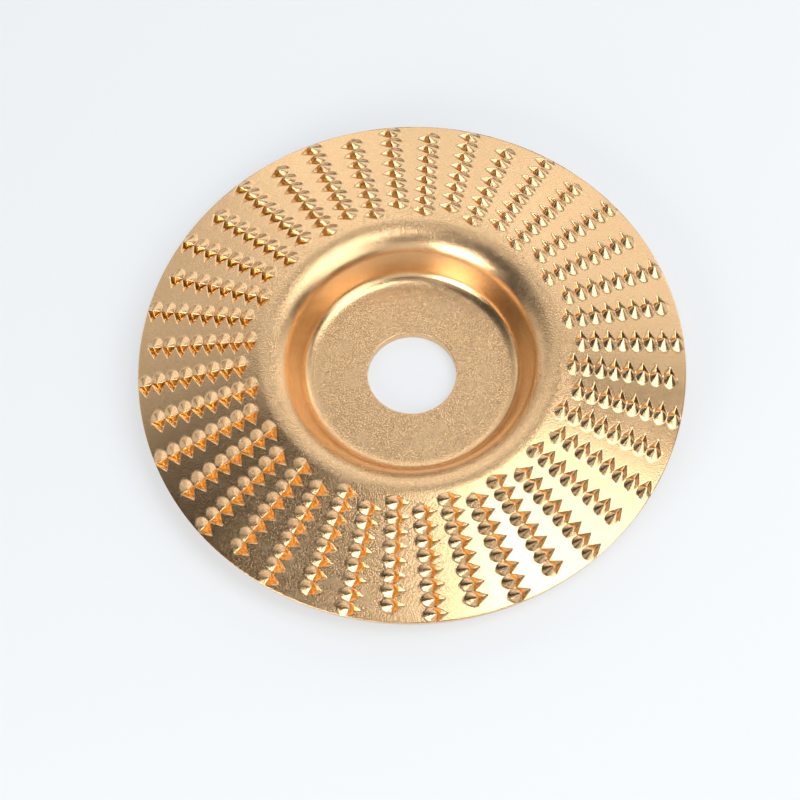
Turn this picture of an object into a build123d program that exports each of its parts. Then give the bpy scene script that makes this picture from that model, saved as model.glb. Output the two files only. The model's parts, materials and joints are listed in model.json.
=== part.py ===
from build123d import *
import math
import os

# Carving disc for a small angle grinder, in millimetres.
# +Z is the spindle axis, with the toothed side up. The origin is the centre of the hub's back face.
# The real disc is one steel pressing. Each node is one region of it, and neighbours meet face to face.

# Sheet and hub
sheet_thickness = 2.0
bore_radius = 8.0
hub_radius = 17.1        # flat part of the hub's top face

# Dish wall, crown and flange, on the top face
foot_radius = 3.0        # bend from the hub into the wall
wall_angle = 67.5        # degrees from level
crown_radius = 5.3       # bend from the wall into the flange
flange_slope = 13.4      # degrees, falling outwards
rim_radius = 49.0        # the rim's top edge
rim_rise = 5.5           # the rim's top edge above the hub's back face

# Rows of teeth
row_count = 40
tooth_pitch = 2.535      # along a row
row_lean = 1.13          # degrees, the inner end leaning clockwise
long_row_margin = 1.37   # rim to the first tooth of a long row
short_row_margin = 2.95  # rim to the first tooth of a short row

# One tooth: the pit that the punch cuts, and the burr it throws up behind the crest line
pit_gap = 0.14           # sheet left between two pits of a row
pit_length = 2.5
pit_depth = 0.6
pit_heel = 0.95          # from the crest line to the deepest point
burr_join = 0.11         # how far a burr's foot runs into its neighbour's half of the pitch
burr_length = 1.9
burr_height = 1.0
burr_overhang = 0.35     # how far the tip leans over the pit
burr_sides = 6           # facets round the back of the burr

# Tools run past the surface by this much, so that each cut is clean
cut_margin = 0.2

slope = math.radians(flange_slope)
wall = math.radians(wall_angle)
pit_half_width = (tooth_pitch - pit_gap) / 2
burr_half_width = tooth_pitch / 2 + burr_join


def on_bend(centre, radius, angle):
    """The point on a bend's circle in the XZ plane, at an angle in radians from +X."""
    return Vector(centre.X + radius * math.cos(angle), 0, centre.Z + radius * math.sin(angle))


def bend(centre, radius, start, end):
    """An arc of the section about centre, between two angles in radians."""
    middle = on_bend(centre, radius, (start + end) / 2)
    return ThreePointArc(on_bend(centre, radius, start), middle, on_bend(centre, radius, end))


def flange_height(radius):
    """Height of the flange's top face at a radius."""
    return rim_rise + (rim_radius - radius) * math.tan(slope)


# The foot bend runs from straight down to foot_end, and the crown bend from crown_start to crown_end.
foot_start = -math.pi / 2
foot_end = wall - math.pi / 2
crown_start = wall + math.pi / 2
crown_end = math.pi / 2 - slope

# The wall is as long as it takes for the crown bend to end on the flange's cone.
foot_centre = Vector(hub_radius, 0, sheet_thickness + foot_radius)
bends_apart = (foot_radius + crown_radius) * Vector(math.sin(wall), 0, -math.cos(wall))
shortest_crown = on_bend(foot_centre + bends_apart, crown_radius, crown_end)
wall_rise = flange_height(shortest_crown.X) - shortest_crown.Z
wall_length = wall_rise / (math.sin(wall) + math.cos(wall) * math.tan(slope))
crown_centre = foot_centre + bends_apart + wall_length * Vector(math.cos(wall), 0, math.sin(wall))
flange_inner = on_bend(crown_centre, crown_radius, crown_end)


def turned(*section):
    """The solid that a closed section in the XZ plane sweeps about the spindle axis."""
    return revolve(make_face(section), Axis.Z)


def closed_section(points):
    """Straight lines through the points and back to the first."""
    return Polyline(*points, close=True)


def hub_plate():
    """Flat centre disc with the bore."""
    corners = [(bore_radius, 0, 0), (hub_radius, 0, 0),
               (hub_radius, 0, sheet_thickness), (bore_radius, 0, sheet_thickness)]
    return turned(closed_section(corners))


def dish_wall():
    """Foot bend and steep wall around the hub."""
    foot_top = bend(foot_centre, foot_radius, foot_start, foot_end)
    foot_back = bend(foot_centre, foot_radius + sheet_thickness, foot_start, foot_end)
    wall_top = Line(foot_top @ 1, on_bend(crown_centre, crown_radius, crown_start))
    wall_back = Line(foot_back @ 1, on_bend(crown_centre, crown_radius - sheet_thickness, crown_start))
    return turned(Line(foot_back @ 0, foot_top @ 0), foot_top, wall_top,
                  Line(wall_top @ 1, wall_back @ 1), wall_back, foot_back)


def crown_ring():
    """Rounded shoulder between the wall and the flange."""
    top = bend(crown_centre, crown_radius, crown_start, crown_end)
    back = bend(crown_centre, crown_radius - sheet_thickness, crown_start, crown_end)
    return turned(top, Line(top @ 1, back @ 1), back, Line(back @ 0, top @ 0))


def plain_flange():
    """Conical sheet from the crown to the rim, before it is punched."""
    outer = Vector(rim_radius, 0, rim_rise)
    through = sheet_thickness * Vector(-math.sin(slope), 0, -math.cos(slope))
    return turned(closed_section([flange_inner, outer, outer + through, flange_inner + through]))


def space_over_flange():
    """The room just above the flange's top face, out to the rim."""
    outer = Vector(rim_radius, 0, rim_rise)
    up = 2 * burr_height * Vector(math.sin(slope), 0, math.cos(slope))
    return turned(closed_section([flange_inner, outer, outer + up, flange_inner + up]))


def pyramid(apex, corners, reach):
    """Pyramid from its apex through a flat outline and on past it by a share, reach, of its height."""
    base = [apex + (1 + reach) * (Vector(*corner) - apex) for corner in corners]
    edges = list(zip(base, base[1:] + base[:1]))
    sides = [Face(Wire.make_polygon([apex, start, end])) for start, end in edges]
    return Solid(Shell(sides + [Face(Wire.make_polygon(base))]))


def pit():
    """Punched pit: X runs out along the row, Y is the cutting direction, Z is out of the sheet."""
    outline = [(-pit_half_width, 0, 0), (pit_half_width, 0, 0), (0, pit_length, 0)]
    return pyramid(Vector(0, pit_heel, -pit_depth), outline, cut_margin / pit_depth)


def burr():
    """Pointed burr behind the crest line, round at the back and leaning forwards at its tip."""
    turns = [math.pi * (1 + side / burr_sides) for side in range(burr_sides + 1)]
    outline = [(burr_half_width * math.cos(turn), burr_length * math.sin(turn), 0) for turn in turns]
    return pyramid(Vector(0, burr_overhang, burr_height), outline, cut_margin / burr_height)


def tooth_places(rim_margin):
    """Locations of one row's teeth on the flange, from the rim inwards, for the row along +X."""
    first = rim_radius - rim_margin
    step = tooth_pitch * math.cos(slope)
    count = 1 + int((first - pit_half_width - flange_inner.X) / step)
    places = []
    for tooth in range(count):
        radius = first - tooth * step
        sideways = -tooth * tooth_pitch * math.tan(math.radians(row_lean))
        seat = Plane(origin=(radius, 0, flange_height(radius)),
                     x_dir=(math.cos(slope), 0, -math.sin(slope)),
                     z_dir=(math.sin(slope), 0, math.cos(slope)))
        places.append(Rotation(0, 0, math.degrees(sideways / radius)) * seat.location)
    return places


def tooth_row(rim_margin, room):
    """The burrs of one row, joined at their flanks and seated on the flange."""
    burrs = [place * burr() for place in tooth_places(rim_margin)]
    return burrs[0].fuse(*burrs[1:]) & room


def row_turn(row):
    """The turn about the spindle axis that carries the row along +X to a numbered row."""
    return Rotation(0, 0, 360 / row_count * row)


def rasp_flange(margins):
    """The conical sheet with every row's pits punched into it."""
    pits = [row_turn(row) * place * pit()
            for row in range(row_count)
            for place in tooth_places(margins[row % len(margins)])]
    return plain_flange().cut(*pits)


def export_node(name, solid):
    """Write one node's STEP file."""
    solid.label = name
    export_step(solid, f"parts/{name}.step")


os.makedirs("parts", exist_ok=True)
row_margins = [long_row_margin, short_row_margin]
export_node("hub_plate", hub_plate())
export_node("dish_wall", dish_wall())
export_node("crown_ring", crown_ring())
export_node("rasp_flange", rasp_flange(row_margins))
room_for_burrs = space_over_flange()
row_kinds = [tooth_row(margin, room_for_burrs) for margin in row_margins]
for row in range(row_count):
    export_node(f"tooth_row_{row + 1:02d}", row_turn(row) * row_kinds[row % len(row_kinds)])
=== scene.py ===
"""Carving disc for a small angle grinder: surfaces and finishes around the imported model.

Metres, +Z up along the spindle axis, toothed side up, hub back face at z = 0.
A point of the sheet is named by its run, the distance along the top face's section, counted from the
edge between crown and flange (outwards positive), and by its azimuth about the spindle.
"""
import json
import math

import bpy
import numpy as np
from mathutils import Matrix, Vector


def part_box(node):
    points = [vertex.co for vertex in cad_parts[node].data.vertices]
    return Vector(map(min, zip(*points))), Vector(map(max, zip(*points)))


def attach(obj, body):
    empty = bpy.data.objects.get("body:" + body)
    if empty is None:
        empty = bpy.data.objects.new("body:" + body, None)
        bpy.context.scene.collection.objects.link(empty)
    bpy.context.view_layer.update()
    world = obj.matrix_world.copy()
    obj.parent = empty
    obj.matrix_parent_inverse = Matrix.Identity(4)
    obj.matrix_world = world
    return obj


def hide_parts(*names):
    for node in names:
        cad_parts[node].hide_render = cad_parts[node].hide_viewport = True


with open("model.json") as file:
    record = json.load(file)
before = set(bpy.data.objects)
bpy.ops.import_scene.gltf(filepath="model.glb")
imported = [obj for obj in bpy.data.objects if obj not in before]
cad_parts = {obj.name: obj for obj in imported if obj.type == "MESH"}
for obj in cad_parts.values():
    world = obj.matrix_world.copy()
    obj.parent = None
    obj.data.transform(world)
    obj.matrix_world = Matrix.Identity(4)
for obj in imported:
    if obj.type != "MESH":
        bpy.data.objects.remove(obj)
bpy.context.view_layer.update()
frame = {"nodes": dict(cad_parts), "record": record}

MM = 0.001

# Sizes read from the frame
mounts = {m["name"]: m for m in frame["record"]["mounts"]}
BORE = mounts["arbor_bore"]["dims"]["r_mm"] * MM
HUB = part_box("hub_plate")[1].x
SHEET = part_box("hub_plate")[1].z
FLANGE_LOW, FLANGE_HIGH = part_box("rasp_flange")
RIM = FLANGE_HIGH.x
ROWS = sum(name.startswith("tooth_row_") for name in frame["nodes"])

# Press tool: bends and slope of the sheet
SLOPE = math.radians(13.4)
WALL = math.radians(67.5)
FOOT_BEND = 3.0 * MM
CROWN_BEND = 5.3 * MM
EDGE = 0.16 * MM                 # rounding of cut edges under the coating
RIM_RISE = FLANGE_LOW.z + SHEET * math.cos(SLOPE)

# Punch: the layout of the teeth and the shape of one of them
TURN = 2 * math.pi / ROWS
TEETH = 8
PITCH = 2.535 * MM
LEAN = math.radians(1.13)        # the inner end of a row leans clockwise
MARGINS = (1.37 * MM, 2.95 * MM)  # rim to first tooth, long and short rows
PIT_LENGTH = 2.5 * MM
PIT_HEEL = 1.12 * MM             # from the crest line to the deepest point
PIT_DEPTH = 0.55 * MM
BURR_LENGTH = 1.9 * MM
BURR_HEIGHT = 0.98 * MM
BURR_REACH = 0.36 * MM           # how far the tip leans over the pit
TOOTH_HALF = PITCH / 2 * 1.03
CREST = 0.10 * MM                # width of the bevel along the crest
TIP_ROUND = 0.04                 # rounding of the burr's tip, as a share of its outline
FOOT_EASE = 0.06                 # how softly the burr's back leaves the sheet

# Scatter from tooth to tooth
SMALLER = 0.16                   # the most that a burr is short of full height, as a share of it
SLANT = 0.07 * MM                # the most that a tip stands ahead or behind
LUMP_SIZE = 0.34 * MM            # spacing of the torn lumps on a burr
LUMP_SMOOTH, LUMP_TORN = 0.012 * MM, 0.035 * MM  # their height on the back, and more near the crest's ends

# Where the flange's pieces start on the crown, and how a piece is shared between burr and pit sides
INNER_RUN = -0.35 * MM
BEHIND = math.radians(4.66)
AHEAD = TURN - BEHIND

# Grid of a toothed piece: lines to a tooth, columns to each part of it, and the steep face's own columns
RUNS_PER_TOOTH = 16
BEHIND_COLUMNS, BURR_COLUMNS, GROOVE_COLUMNS, AHEAD_COLUMNS = 4, 12, 4, 6
FACE_SHARES = np.array([0, 0.07, 0.4, 0.7, 1.0])
FACE_PAINTED_REFLECTION = np.array([0, 1.0, 1.0, 1.0, 0.6])     # share of the painted reflection's deeper orange on each of them


def unit(angle):
    """(cos, sin) of an angle, along a last axis."""
    return np.stack([np.cos(angle), np.sin(angle)], axis=-1)


# The two bends' centres in the (radius, height) section. The wall between them is straight.
foot_centre = np.array([HUB, SHEET + FOOT_BEND])
across = np.array([math.sin(WALL), -math.cos(WALL)])
first_crown = foot_centre + (FOOT_BEND + CROWN_BEND) * across
first_edge = first_crown + CROWN_BEND * unit(math.pi / 2 - SLOPE)
missing = RIM_RISE + (RIM - first_edge[0]) * math.tan(SLOPE) - first_edge[1]
wall_run = missing / (math.sin(WALL) + math.cos(WALL) * math.tan(SLOPE))
crown_centre = first_crown + wall_run * unit(WALL)
crown_edge = crown_centre + CROWN_BEND * unit(math.pi / 2 - SLOPE)
RIM_RUN = (RIM - crown_edge[0]) / math.cos(SLOPE)


def section_at(run):
    """Top-face point and outward normal at a run: the cone's line, or the crown's arc where run < 0."""
    turn = math.pi / 2 - SLOPE + np.maximum(-run, 0) / CROWN_BEND
    normal = unit(turn)
    point = crown_centre + CROWN_BEND * normal
    point = point + np.maximum(run, 0)[..., None] * np.array([math.cos(SLOPE), -math.sin(SLOPE)])
    return point, normal


def smooth(x):
    """Eased step from 0 to 1."""
    x = np.clip(x, 0, 1)
    return x * x * (3 - 2 * x)


def value_noise(x, y, seed):
    """Soft random relief from -1 to 1: random values on whole numbers, eased between them."""
    table = np.random.default_rng(seed).uniform(-1, 1, (256, 256))
    column, row = np.floor(x).astype(int), np.floor(y).astype(int)
    fx, fy = smooth(x - column), smooth(y - row)
    near, far = column % 256, (column + 1) % 256
    low, high = row % 256, (row + 1) % 256
    bottom = table[near, low] * (1 - fx) + table[far, low] * fx
    top = table[near, high] * (1 - fx) + table[far, high] * fx
    return bottom * (1 - fy) + top * fy


def make_piece(name, points, faces, material, nodes, painted_pit_reflection=None):
    """A mesh object from arrays of points and faces, riding on the one body and standing for CAD nodes.

    Its last argument marks, from 0 to 1, how far each point takes the deeper orange painted inside the
    punched pits, a painted reflection of the gold in itself.
    """
    mesh = bpy.data.meshes.new(name)
    mesh.from_pydata(points, [], faces)
    if painted_pit_reflection is not None:
        mesh.attributes.new("painted_pit_reflection", "FLOAT", "POINT").data.foreach_set("value", painted_pit_reflection)
    mesh.polygons.foreach_set("use_smooth", np.ones(len(mesh.polygons), bool))
    mesh.set_sharp_from_angle(angle=math.radians(75))
    piece = bpy.data.objects.new(name, mesh)
    bpy.context.scene.collection.objects.link(piece)
    mesh.materials.append(material)
    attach(piece, "root")
    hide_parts(*nodes)
    return piece


def loops_to_faces(loops, count, closed):
    """Quads between neighbouring loops of `count` points. Closed joins the last loop to the first."""
    start = np.arange(loops if closed else loops - 1)[:, None] * count
    step = np.arange(count)[None]
    after = (start + count) % (loops * count)
    quads = np.stack([start + step, start + (step + 1) % count, after + (step + 1) % count, after + step], -1)
    return quads.reshape(-1, 4)


# ---------------------------------------------------------------- pressed centre: hub, dish wall and crown

def arc(centre, radius, start, end, steps):
    """Points of a section's arc between two angles."""
    return centre + radius * unit(np.linspace(start, end, steps))


def stretch(start, end, steps):
    """Points of a straight run of the section."""
    return np.linspace(start, end, steps)


def centre_section():
    """Closed (radius, height) outline of the sheet from the bore to the edge of the toothed pieces."""
    foot_end, crown_start = WALL - math.pi / 2, WALL + math.pi / 2
    last = math.pi / 2 - SLOPE - INNER_RUN / CROWN_BEND
    bore_top = np.array([BORE + EDGE, SHEET - EDGE])
    bore_back = np.array([BORE + EDGE, EDGE])
    wall_foot = foot_centre + FOOT_BEND * unit(foot_end)
    wall_head = crown_centre + CROWN_BEND * unit(crown_start)
    top = [arc(bore_top, EDGE, math.pi, math.pi / 2, 6),
           stretch((BORE + 2 * EDGE, SHEET), (HUB - EDGE, SHEET), 40),
           arc(foot_centre, FOOT_BEND, -math.pi / 2, foot_end, 22),
           stretch(wall_foot, wall_head, 12)[1:-1],
           arc(crown_centre, CROWN_BEND, crown_start, last, 40)]
    back = [arc(crown_centre, CROWN_BEND - SHEET, last, crown_start, 20),
            arc(foot_centre, FOOT_BEND + SHEET, foot_end, -math.pi / 2, 24),
            stretch((HUB - EDGE, 0), (BORE + 2 * EDGE, 0), 12),
            arc(bore_back, EDGE, -math.pi / 2, -math.pi, 6)]
    return np.concatenate(top + back)


def pressed_centre(material):
    """The closed section turned about the spindle: (r cos a, r sin a, z) over a full turn of a."""
    section = centre_section()
    turns = 480
    azimuth = np.linspace(0, 2 * math.pi, turns, endpoint=False)[:, None]
    x, y = section[:, 0] * np.cos(azimuth), section[:, 0] * np.sin(azimuth)
    z = np.broadcast_to(section[:, 1], x.shape)
    points = np.stack([x, y, z], -1).reshape(-1, 3)
    faces = loops_to_faces(turns, len(section), closed=True)
    return make_piece("pressed_centre", points, faces[:, ::-1], material,
                      ["hub_plate", "dish_wall", "crown_ring"])


# ---------------------------------------------------------------- toothed flange, one piece to each row

def tooth_runs(margin):
    """Runs of the tooth centres of a row, from the rim inwards."""
    return RIM_RUN - margin / math.cos(SLOPE) - PITCH * np.arange(TEETH)


def row_runs(centres):
    """Runs of the grid lines: dense over the teeth, with a line on each tooth's middle, sparse elsewhere."""
    inner, outer = centres[-1] - PITCH / 2, centres[0] + PITCH / 2
    toothed = np.linspace(inner, outer, RUNS_PER_TOOTH * TEETH + 1)
    before = np.linspace(INNER_RUN, inner, 5)[:-1]
    last = RIM_RUN - EDGE
    after = np.linspace(outer, last, max(2, int((last - outer) / (0.25 * MM))))[1:] if last > outer else []
    return np.concatenate([before, toothed[toothed < last], after])


def row_relief(runs, centres, seed):
    """Offsets along the cutting direction and heights over the sheet, for every run and column.

    With u the distance from the nearest tooth's middle line and v the distance ahead of the crest line:
    the burr is a cone, H (1 - s) with s the elliptic distance from the tip to its outline, eased in at
    the foot; it leans ahead in proportion to its height. The pit is the deepest of three planes: a steep
    face down from the crest line, and two that rise from the groove to a point ahead.
    """
    rng = np.random.default_rng(seed)
    nearest = np.abs(runs[:, None] - centres).argmin(1)
    size = 1 - rng.uniform(0, SMALLER, TEETH)[nearest]
    slant = rng.uniform(-SLANT, SLANT, TEETH)[nearest]
    u = np.abs(runs - centres[nearest])
    room = np.clip(1 - u / TOOTH_HALF, 0.0, 1)
    height = BURR_HEIGHT * size
    least = 0.02

    # Behind the crest line: the burr's back
    back = -np.linspace(1, 0, BURR_COLUMNS) ** 1.15 * (BURR_LENGTH * 1.03)
    s = np.sqrt((u[:, None] / TOOTH_HALF) ** 2 + (back / BURR_LENGTH) ** 2 + TIP_ROUND ** 2) - TIP_ROUND
    within = np.clip(1 - s, 0, 1)
    rise = within * within / (within + FOOT_EASE) * (1 + FOOT_EASE)
    lumps = value_noise(runs[:, None] / LUMP_SIZE + 40, back / LUMP_SIZE + 80, seed + 1)
    near_crest = smooth(1 + back / (0.8 * MM))
    torn = LUMP_SMOOTH + LUMP_TORN * near_crest * smooth(2 - 2.6 * room[:, None])
    burr_w = height[:, None] * rise + torn * lumps * smooth(within * 6)
    burr_v = back + (BURR_REACH + slant)[:, None] * rise

    # The crest and the steep face under it
    tip_v, tip_w = burr_v[:, -1], burr_w[:, -1]
    heel_v = PIT_HEEL * np.maximum(room, least)
    heel_w = -PIT_DEPTH * room
    share = FACE_SHARES[None]
    edge = np.minimum(CREST, 0.3 * heel_v)[:, None]
    face_v = (tip_v[:, None] + edge) * (1 - share) + heel_v[:, None] * share
    face_w = (tip_w[:, None] - edge * room[:, None]) * (1 - share) + heel_w[:, None] * share

    # The groove that runs out to a point
    share = np.linspace(0, 1, GROOVE_COLUMNS + 1)[None, 1:]
    end_v = PIT_LENGTH * np.maximum(room, least)
    groove_v = heel_v[:, None] * (1 - share) + end_v[:, None] * share
    groove_w = heel_w[:, None] * (1 - share)
    return burr_v, burr_w, face_v, face_w, groove_v, groove_w


def toothed_row(number, material):
    """One row's slice of the flange: the relief laid on the cone, the rounded rim, and the plain back."""
    centres = tooth_runs(MARGINS[number % 2])
    runs = row_runs(centres)
    relief = row_relief(runs, centres, 100 + number)
    point, normal = section_at(runs)
    radius = point[:, 0]
    middle = -np.clip(centres[0] - runs, 0, TEETH * PITCH) * math.tan(LEAN)
    v = np.concatenate([relief[0], relief[2], relief[4]], 1) + middle[:, None]
    w = np.concatenate([relief[1], relief[3], relief[5]], 1)
    azimuth = v / radius[:, None]

    # Plain sheet on both sides, out to the borders with the next rows
    share = np.linspace(0, 1, BEHIND_COLUMNS + 1)[None, :-1]
    left = -BEHIND * (1 - share) + azimuth[:, :1] * share
    share = np.linspace(0, 1, AHEAD_COLUMNS + 1)[None, 1:]
    right = azimuth[:, -1:] * (1 - share) + AHEAD * share
    azimuth = np.concatenate([left, azimuth, right], 1)
    w = np.concatenate([np.zeros_like(left), w, np.zeros_like(right)], 1)

    # Section loops: out over the top, round the rim's two edges, and back underneath
    top = point[:, None] + w[..., None] * normal[:, None]
    outward = np.array([math.cos(SLOPE), -math.sin(SLOPE)])
    upward = np.array([math.sin(SLOPE), math.cos(SLOPE)])
    corner = crown_edge + (RIM_RUN - EDGE) * outward - EDGE * upward
    under = corner - (SHEET - 2 * EDGE) * upward
    bend = np.linspace(0, math.pi / 2, 6)
    upper = corner + EDGE * (np.outer(np.sin(bend), outward) + np.outer(np.cos(bend), upward))
    lower = under + EDGE * (np.outer(np.cos(bend), outward) - np.outer(np.sin(bend), upward))
    inner_back = point[0] - SHEET * normal[0]
    inner_flat = crown_edge - SHEET * upward
    rest = np.concatenate([upper[1:], lower, inner_flat[None], inner_back[None]])
    columns = azimuth.shape[1]
    even = np.linspace(-BEHIND, AHEAD, columns)
    rest_azimuth = np.concatenate([np.repeat(azimuth[-1:], len(rest) - 2, 0), np.stack([even, azimuth[0]])])
    section = np.concatenate([top, np.broadcast_to(rest[:, None], (len(rest), columns, 2))])
    around = np.concatenate([azimuth, rest_azimuth]) + number * TURN
    radii, heights = section[..., 0], section[..., 1]
    points = np.stack([radii * np.cos(around), radii * np.sin(around), heights], -1)
    count = len(section)
    points = points.transpose(1, 0, 2).reshape(-1, 3)
    first = BEHIND_COLUMNS + BURR_COLUMNS
    # The pits' steep faces are marked for painted reflection: a deeper orange that stands in for the gold
    # reflecting itself there
    painted_pit_reflection = np.zeros((columns, count))
    painted_pit_reflection[first:first + len(FACE_PAINTED_REFLECTION), :len(top)] = FACE_PAINTED_REFLECTION[:, None]
    faces = loops_to_faces(columns, count, closed=False)
    caps = [list(range(count))[::-1], list(range((columns - 1) * count, columns * count))]
    name = f"rasp_row_{number + 1:02d}"
    nodes = [f"tooth_row_{number + 1:02d}", "rasp_flange"]
    return make_piece(name, points, faces.tolist() + caps, material, nodes, painted_pit_reflection.ravel())


# ---------------------------------------------------------------- finishes

def node(tree, kind, **inputs):
    """A shader node with its plain inputs set by name."""
    made = tree.nodes.new(kind)
    for key, value in inputs.items():
        made.inputs[key.replace("_", " ")].default_value = value
    return made


def gold_coat():
    """Gold-coloured hard coating, with a deeper orange painted in the pits as painted reflection of the gold
    in itself.

    Its grain is blasted on hub and crown, finer on the dish wall and the flange, and scuffed at one side.
    """
    material = bpy.data.materials.new("gold_coat")
    material.use_nodes = True
    tree = material.node_tree
    link = tree.links.new
    shader = tree.nodes["Principled BSDF"]
    shader.inputs["Metallic"].default_value = 1.0
    where = tree.nodes.new("ShaderNodeTexCoord").outputs["Object"]

    def noise(scale, detail, roughness=0.6):
        """Noise over the object, in features per metre."""
        made = node(tree, "ShaderNodeTexNoise", Scale=scale, Detail=detail, Roughness=roughness)
        link(where, made.inputs["Vector"])
        return made.outputs["Fac"]

    def graded(value, start, end, low, high):
        """A value mapped from one range to another, and held at its ends."""
        made = node(tree, "ShaderNodeMapRange", From_Min=start, From_Max=end, To_Min=low, To_Max=high)
        link(value, made.inputs["Value"])
        return made.outputs["Result"]

    def math_node(operation, *values):
        """An arithmetic node over links and plain numbers."""
        made = tree.nodes.new("ShaderNodeMath")
        made.operation = operation
        for socket, value in zip(made.inputs, values):
            if isinstance(value, float):
                socket.default_value = value
            else:
                link(value, socket)
        return made.outputs[0]

    def distance_from(x, y):
        """Distance in plan from a point of the disc."""
        flat = tree.nodes.new("ShaderNodeVectorMath")
        flat.operation = "MULTIPLY"
        link(where, flat.inputs[0])
        flat.inputs[1].default_value = (1, 1, 0)
        gap = tree.nodes.new("ShaderNodeVectorMath")
        gap.operation = "DISTANCE"
        link(flat.outputs[0], gap.inputs[0])
        gap.inputs[1].default_value = (x, y, 0)
        return gap.outputs["Value"]

    # How strong the grain is, from 0 to 1: by distance from the spindle, and near the scuffed side
    radius = distance_from(0, 0)
    hub_grain = graded(radius, 17.5 * MM, 19 * MM, 1.0, 0.3)
    crown_grain = graded(radius, 22 * MM, 24 * MM, 0.3, 0.9)
    pressed_grain = math_node("MAXIMUM", hub_grain, crown_grain)
    blasted = math_node("MULTIPLY", pressed_grain, graded(radius, 27 * MM, 32 * MM, 1.0, 0.36))
    scuffed = graded(distance_from(-20 * MM, -34 * MM), 12 * MM, 44 * MM, 1.0, 0.0)
    grain_amount = math_node("MAXIMUM", blasted, scuffed)

    # Colour: clouded gold, a deeper orange painted in the pits as painted reflection, sparkling and here and
    # there specked where there is grain
    cloud = noise(240.0, 3.0)
    tint = tree.nodes.new("ShaderNodeValToRGB")
    tint.color_ramp.elements[0].position = 0.3
    tint.color_ramp.elements[0].color = (0.81, 0.535, 0.285, 1)
    tint.color_ramp.elements[1].position = 0.7
    tint.color_ramp.elements[1].color = (0.85, 0.57, 0.315, 1)
    link(cloud, tint.inputs["Fac"])

    grain = math_node("ADD", noise(4200.0, 1.5), math_node("MULTIPLY", noise(7500.0, 1.0), 0.5))
    sparkle = graded(grain, 0.45, 1.05, 0.70, 1.26)
    speck = math_node("MULTIPLY", sparkle, graded(noise(1500.0, 1.0), 0.70, 0.76, 1.0, 0.6))
    shade = tree.nodes.new("ShaderNodeMix")
    shade.data_type = "RGBA"
    shade.blend_type = "MULTIPLY"
    link(grain_amount, shade.inputs["Factor"])
    # Painted reflection: the pits' steep faces take a deeper, darker orange that stands in for the gold
    # reflecting itself inside them
    pit = tree.nodes.new("ShaderNodeAttribute")
    pit.attribute_name = "painted_pit_reflection"
    painted_reflection_mix = tree.nodes.new("ShaderNodeMix")
    painted_reflection_mix.data_type = "RGBA"
    painted_reflection_mix.inputs["B"].default_value = (0.86, 0.46, 0.12, 1)
    link(pit.outputs["Fac"], painted_reflection_mix.inputs["Factor"])
    link(tint.outputs["Color"], painted_reflection_mix.inputs["A"])
    link(painted_reflection_mix.outputs["Result"], shade.inputs["A"])
    link(speck, shade.inputs["B"])
    link(shade.outputs["Result"], shader.inputs["Base Color"])

    # Roughness, and the grain's relief
    rough = math_node("ADD", graded(cloud, 0.3, 0.7, 0.21, 0.255), math_node("MULTIPLY", grain_amount, 0.03))
    link(rough, shader.inputs["Roughness"])

    height = math_node("MULTIPLY", grain, grain_amount)
    bump = node(tree, "ShaderNodeBump", Strength=1.0, Distance=0.00006)
    link(height, bump.inputs["Height"])
    link(bump.outputs["Normal"], shader.inputs["Normal"])
    return material


# ---------------------------------------------------------------- making the disc

coat = gold_coat()
pressed_centre(coat)
for number in range(ROWS):
    toothed_row(number, coat)


# ---------------------------------------------------------------- floor, light and camera

def floor():
    """A wide pale floor just under the hub, glowing a little to the camera and in reflections."""
    reach, gap, glow_share = 1.5, 0.1 * MM, 0.5
    mesh = bpy.data.meshes.new("floor")
    corners = [(-reach, -reach, 0), (reach, -reach, 0), (reach, reach, 0), (-reach, reach, 0)]
    mesh.from_pydata(corners, [], [(0, 1, 2, 3)])
    made = bpy.data.objects.new("floor", mesh)
    bpy.context.scene.collection.objects.link(made)
    made.location.z = -gap
    material = bpy.data.materials.new("floor_paper")
    material.use_nodes = True
    tree = material.node_tree
    link = tree.links.new
    shader = tree.nodes["Principled BSDF"]
    shader.inputs["Base Color"].default_value = (0.84, 0.87, 0.90, 1)
    shader.inputs["Roughness"].default_value = 0.8
    glow = node(tree, "ShaderNodeEmission", Color=(0.93, 0.97, 1.0, 1), Strength=1.0)
    ray = tree.nodes.new("ShaderNodeLightPath")
    seen = tree.nodes.new("ShaderNodeMath")
    seen.operation = "MAXIMUM"
    link(ray.outputs["Is Camera Ray"], seen.inputs[0])
    link(ray.outputs["Is Glossy Ray"], seen.inputs[1])
    share = tree.nodes.new("ShaderNodeMath")
    share.operation = "MULTIPLY"
    share.inputs[1].default_value = glow_share
    link(seen.outputs[0], share.inputs[0])
    mixed = tree.nodes.new("ShaderNodeMixShader")
    link(share.outputs[0], mixed.inputs[0])
    link(shader.outputs[0], mixed.inputs[1])
    link(glow.outputs[0], mixed.inputs[2])
    link(mixed.outputs[0], tree.nodes["Material Output"].inputs["Surface"])
    mesh.materials.append(material)


def softbox(name, azimuth, elevation, size, power):
    """A square area light on a dome over the disc, facing its middle. Angles in degrees."""
    distance = 0.4
    light = bpy.data.lights.new(name, "AREA")
    light.size = size
    light.energy = power
    made = bpy.data.objects.new(name, light)
    level = math.radians(elevation)
    x, y = math.cos(level) * unit(math.radians(azimuth))
    direction = Vector((x, y, math.sin(level)))
    made.location = direction * distance
    made.rotation_euler = direction.to_track_quat("Z", "Y").to_euler()
    bpy.context.scene.collection.objects.link(made)


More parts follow.
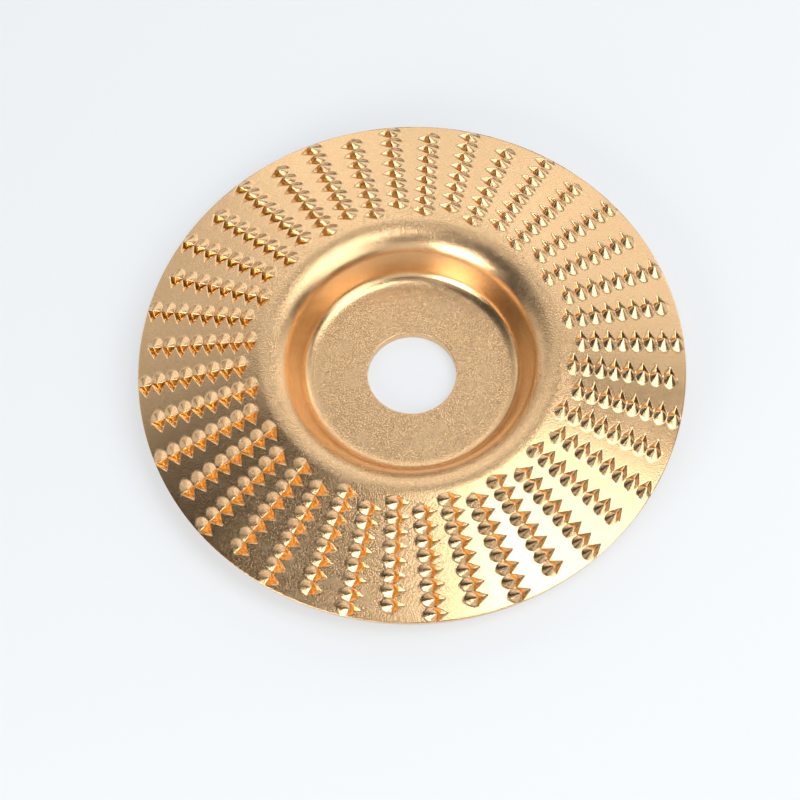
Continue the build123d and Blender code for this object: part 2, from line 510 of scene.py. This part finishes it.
def studio():
    """Softboxes on a dome: large ones low all round, smaller ones overhead, the brightest to the right."""
    world = bpy.data.worlds.new("studio")
    bpy.context.scene.world = world
    world.use_nodes = True
    world.node_tree.nodes["Background"].inputs["Color"].default_value = (0.95, 0.97, 1.0, 1)
    world.node_tree.nodes["Background"].inputs["Strength"].default_value = 0.02
    level, low, middle, high = 12, 34, 58, 75
    softbox("back_left", 135, low, 0.26, 0.13)
    softbox("back", 90, low, 0.26, 0.23)
    softbox("back_right", 48, low, 0.26, 0.24)
    softbox("front_right", 315, low, 0.26, 0.46)
    softbox("front", 270, 18, 0.26, 0.16)
    softbox("front_left", 229, 22, 0.20, 0.85)
    softbox("level_right", 22, level, 0.26, 0.20)
    softbox("level_back", 112, level, 0.26, 0.08)
    softbox("level_left", 157, level, 0.26, 0.13)
    softbox("over_back", 105, middle, 0.18, 0.09)
    softbox("over_front", 240, middle, 0.18, 0.055)
    softbox("over_right", 342, middle, 0.22, 0.42)
    softbox("high_back", 45, high, 0.10, 0.05)
    softbox("high_front", 312, high, 0.12, 0.18)


def camera():
    """Camera over the front of the disc, aimed a little beside its middle and slightly rolled.

    Its matrix is a turn about the spindle, the drop from straight down to its elevation, the roll, and
    the two small angles between its axis and the middle of the rim's plane.
    """
    away, elevation = 0.477, math.radians(64.76)
    turn, roll = math.radians(-2.40), math.radians(2.50)
    middle_right, middle_up = 0.0043, 0.0133
    facing = (Matrix.Rotation(turn, 4, "Z") @ Matrix.Rotation(math.pi / 2 - elevation, 4, "X")
              @ Matrix.Rotation(-roll, 4, "Z"))
    sideways = Matrix.Rotation(middle_right, 4, "Y") @ Matrix.Rotation(-middle_up, 4, "X")
    data = bpy.data.cameras.new("camera")
    data.lens, data.sensor_width = 120.09, 36
    data.clip_start = 0.01
    made = bpy.data.objects.new("camera", data)
    spot = facing @ Vector((0, 0, away)) + Vector((0, 0, RIM_RISE))
    made.matrix_world = Matrix.Translation(spot) @ facing @ sideways
    bpy.context.scene.collection.objects.link(made)
    bpy.context.scene.camera = made


floor()
studio()
camera()
bpy.context.scene.view_settings.view_transform = "Standard"
